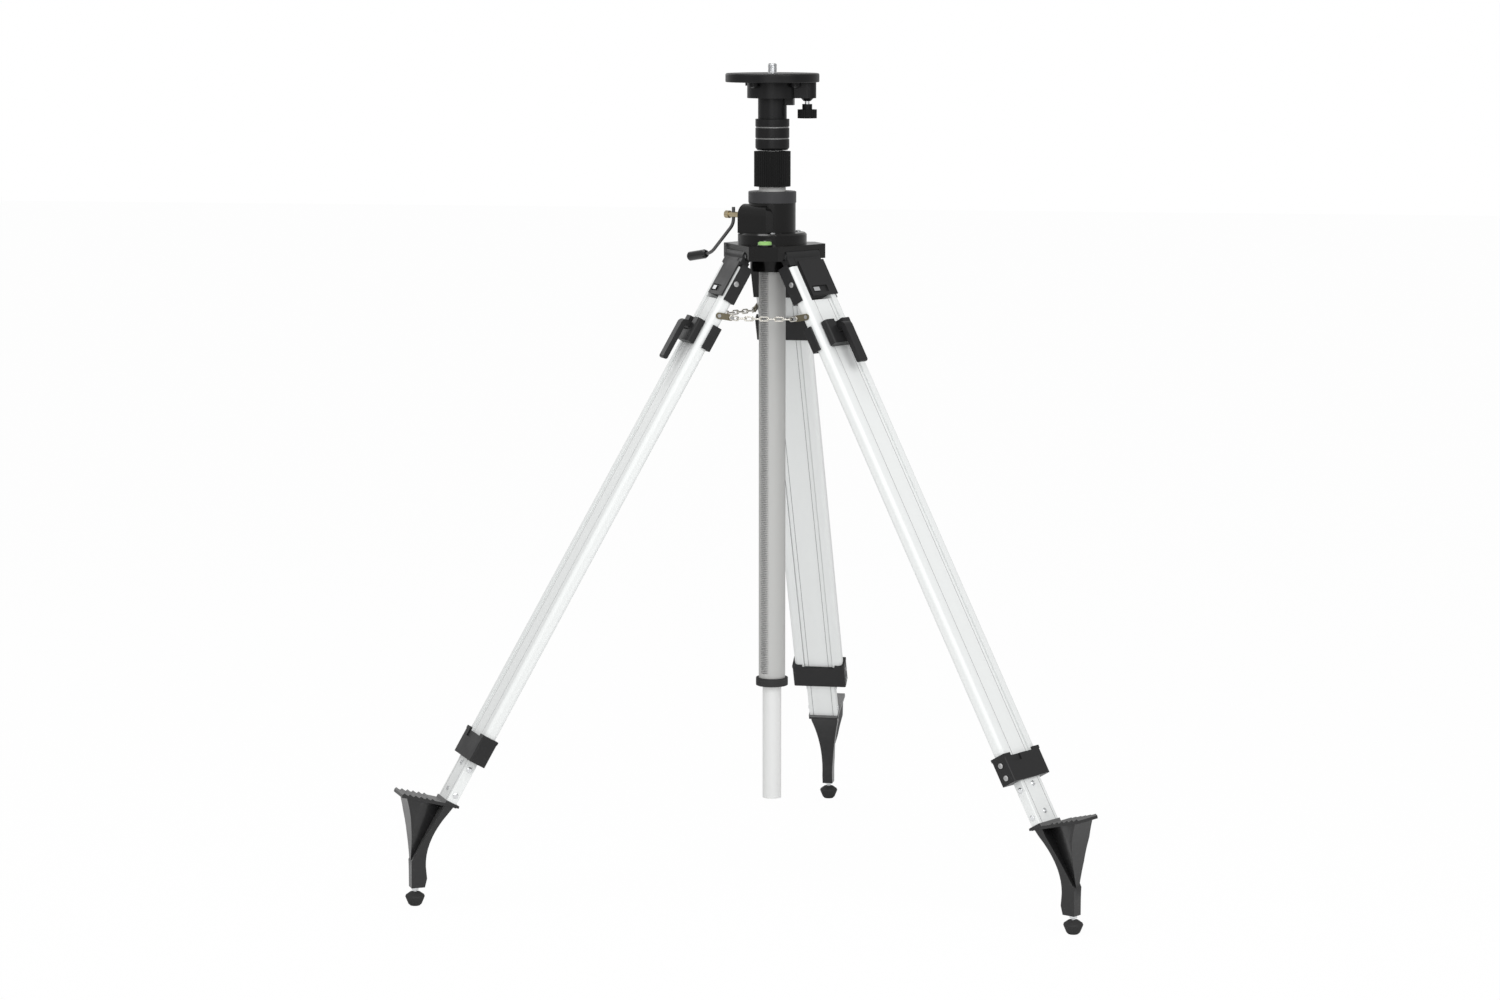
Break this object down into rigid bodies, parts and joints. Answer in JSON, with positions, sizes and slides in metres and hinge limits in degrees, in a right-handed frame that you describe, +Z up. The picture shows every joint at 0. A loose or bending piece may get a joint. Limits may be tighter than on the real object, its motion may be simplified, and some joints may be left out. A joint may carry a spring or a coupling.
{
  "type": "elevating tripod",
  "caption": "Elevating instrument tripod with sliding clamped legs, a crank-raised toothed column, a sliding mast and a flat head with a captive stud.",
  "frame": {"origin": "centre of the head plate's top face, on the stud's axis", "axes": "+Z up along the stud and column, +X towards the head's knob, +Y towards the rear leg"},
  "size_m": [1.1886, 1.0294, 1.4102],
  "materials": {
    "black_casting": "gloss black enamel",
    "grey_cap": "satin grey",
    "black_anodised": "satin black",
    "black_knurl": "moulded ridges",
    "bright_steel": "bright plated",
    "bronze_plate": "plated and olive",
    "brass": "turned",
    "black_rod": "black oxide",
    "black_grip": "gloss moulded",
    "column_grey": "satin anodised",
    "mast_grey": "matte anodised",
    "collet_plastic": "natural",
    "leg_aluminium": "bright anodised",
    "dark_plastic": "satin moulded",
    "foot_black": "semi-gloss casting",
    "rubber": "moulded rubber",
    "chain_nickel": "nickel",
    "vial_green": "clear green fluid"
  },
  "bodies": {
    "crown": {"crown": "black_casting", "gear_housing": "black_casting", "housing_cap": "grey_cap", "column_bush": "brass", "bubble_vial": "vial_green", "crown_fasteners": "bright_steel", "chain_front": "chain_nickel", "chain_left": "chain_nickel", "chain_right": "chain_nickel"},
    "column": {"outer_column": "column_grey", "column_collet": "collet_plastic", "stop_ring": "rubber"},
    "collar": {"clamp_collar": "black_knurl"},
    "crank": {"crank_shaft": "brass", "pinion_gear": "brass", "crank_arm": "black_rod"},
    "grip": {"crank_grip": "black_grip"},
    "mast": {"inner_column": "mast_grey", "mast_adapter": "black_anodised"},
    "head": {"head_base": "black_anodised", "head_plate": "black_anodised", "head_screws": "bright_steel"},
    "stud": {"instrument_stud": "bright_steel", "stud_gear": "brass"},
    "idler": {"idler_gear": "brass"},
    "knob": {"drive_knob": "black_knurl", "knob_gear": "bright_steel"},
    "leg_rear": {"hinge_bracket_rear": "dark_plastic", "leg_rails_rear": "leg_aluminium", "lower_collar_rear": "dark_plastic", "leg_fasteners_rear": "bronze_plate"},
    "lower_rear": {"lower_leg_rear": "leg_aluminium", "clamp_block_rear": "dark_plastic", "clamp_yoke_rear": "dark_plastic", "foot_rear": "foot_black", "foot_fasteners_rear": "bright_steel"},
    "lever_rear": {"clamp_lever_rear": "dark_plastic"},
    "pad_rear": {"foot_pad_rear": "rubber"},
    "leg_left": {"hinge_bracket_left": "dark_plastic", "leg_rails_left": "leg_aluminium", "lower_collar_left": "dark_plastic", "leg_fasteners_left": "bronze_plate"},
    "lower_left": {"lower_leg_left": "leg_aluminium", "clamp_block_left": "dark_plastic", "clamp_yoke_left": "dark_plastic", "foot_left": "foot_black", "foot_fasteners_left": "bright_steel"},
    "lever_left": {"clamp_lever_left": "dark_plastic"},
    "pad_left": {"foot_pad_left": "rubber"},
    "leg_right": {"hinge_bracket_right": "dark_plastic", "leg_rails_right": "leg_aluminium", "lower_collar_right": "dark_plastic", "leg_fasteners_right": "bronze_plate"},
    "lower_right": {"lower_leg_right": "leg_aluminium", "clamp_block_right": "dark_plastic", "clamp_yoke_right": "dark_plastic", "foot_right": "foot_black", "foot_fasteners_right": "bright_steel"},
    "lever_right": {"clamp_lever_right": "dark_plastic"},
    "pad_right": {"foot_pad_right": "rubber"}
  },
  "joints": [
    {"name": "column_lift", "type": "slide", "parent": "crown", "child": "column", "axis": [0, 0, 1], "range_m": [0, 0.7]},
    {"name": "crank_turn", "type": "hinge", "parent": "crown", "child": "crank", "pos_m": [-0.015, -0.02598, -0.241], "axis": [0.866, -0.5, 0], "range_deg": [0, 5014]},
    {"name": "grip_spin", "type": "hinge", "parent": "crank", "child": "grip", "pos_m": [-0.12109, 0.03527, -0.3107], "axis": [-0.8541, 0.4931, -0.165], "continuous": true},
    {"name": "collar_turn", "type": "hinge", "parent": "column", "child": "collar", "pos_m": [0, 0, -0.16], "axis": [0, 0, 1], "range_deg": [0, 120]},
    {"name": "mast_slide", "type": "slide", "parent": "column", "child": "mast", "axis": [0, 0, 1], "range_m": [0, 0.85]},
    {"name": "head_swivel", "type": "hinge", "parent": "mast", "child": "head", "pos_m": [0, 0, -0.09], "axis": [0, 0, 1], "continuous": true},
    {"name": "stud_turn", "type": "hinge", "parent": "head", "child": "stud", "pos_m": [0, 0, 0], "axis": [0, 0, 1], "range_deg": [0, 2340]},
    {"name": "idler_turn", "type": "hinge", "parent": "head", "child": "idler", "pos_m": [0.0375, 0, -0.03], "axis": [0, 0, 1], "range_deg": [-4973, 0]},
    {"name": "knob_turn", "type": "hinge", "parent": "head", "child": "knob", "pos_m": [0.06, 0, -0.06], "axis": [0, 0, 1], "range_deg": [0, 5683]},
    {"name": "leg_fold_rear", "type": "hinge", "parent": "crown", "child": "leg_rear", "pos_m": [0, 0.06, -0.3077], "axis": [-1, 0, 0], "range_deg": [0, 28], "deforming": ["chain_left", "chain_right"]},
    {"name": "leg_slide_rear", "type": "slide", "parent": "leg_rear", "child": "lower_rear", "axis": [0, 0.503, -0.8643], "range_m": [0, 0.74]},
    {"name": "lever_turn_rear", "type": "hinge", "parent": "lower_rear", "child": "lever_rear", "pos_m": [0, 0.14875, -0.42729], "axis": [1, 0, 0], "range_deg": [0, 90]},
    {"name": "pad_turn_rear", "type": "hinge", "parent": "lower_rear", "child": "pad_rear", "pos_m": [0, 0.64302, -1.39373], "axis": [0, 0, 1], "continuous": true},
    {"name": "leg_fold_left", "type": "hinge", "parent": "crown", "child": "leg_left", "pos_m": [-0.05196, -0.03, -0.3077], "axis": [0.5, -0.866, 0], "range_deg": [0, 28], "deforming": ["chain_front", "chain_left"]},
    {"name": "leg_slide_left", "type": "slide", "parent": "leg_left", "child": "lower_left", "axis": [-0.4356, -0.2515, -0.8643], "range_m": [0, 0.74]},
    {"name": "lever_turn_left", "type": "hinge", "parent": "lower_left", "child": "lever_left", "pos_m": [-0.12882, -0.07437, -0.42729], "axis": [-0.5, 0.866, 0], "range_deg": [0, 90]},
    {"name": "pad_turn_left", "type": "hinge", "parent": "lower_left", "child": "pad_left", "pos_m": [-0.55688, -0.32151, -1.39373], "axis": [0, 0, 1], "continuous": true},
    {"name": "leg_fold_right", "type": "hinge", "parent": "crown", "child": "leg_right", "pos_m": [0.05196, -0.03, -0.3077], "axis": [0.5, 0.866, 0], "range_deg": [0, 28], "deforming": ["chain_front", "chain_right"]},
    {"name": "leg_slide_right", "type": "slide", "parent": "leg_right", "child": "lower_right", "axis": [0.4356, -0.2515, -0.8643], "range_m": [0, 0.74]},
    {"name": "lever_turn_right", "type": "hinge", "parent": "lower_right", "child": "lever_right", "pos_m": [0.12882, -0.07437, -0.42729], "axis": [-0.5, -0.866, 0], "range_deg": [0, 90]},
    {"name": "pad_turn_right", "type": "hinge", "parent": "lower_right", "child": "pad_right", "pos_m": [0.55688, -0.32151, -1.39373], "axis": [0, 0, 1], "continuous": true}
  ],
  "couplings": [
    {"joint": "crank_turn", "follows": "column_lift", "rad_per_m": 125},
    {"joint": "idler_turn", "follows": "stud_turn", "ratio": -2.125},
    {"joint": "knob_turn", "follows": "stud_turn", "ratio": 2.4286}
  ]
}
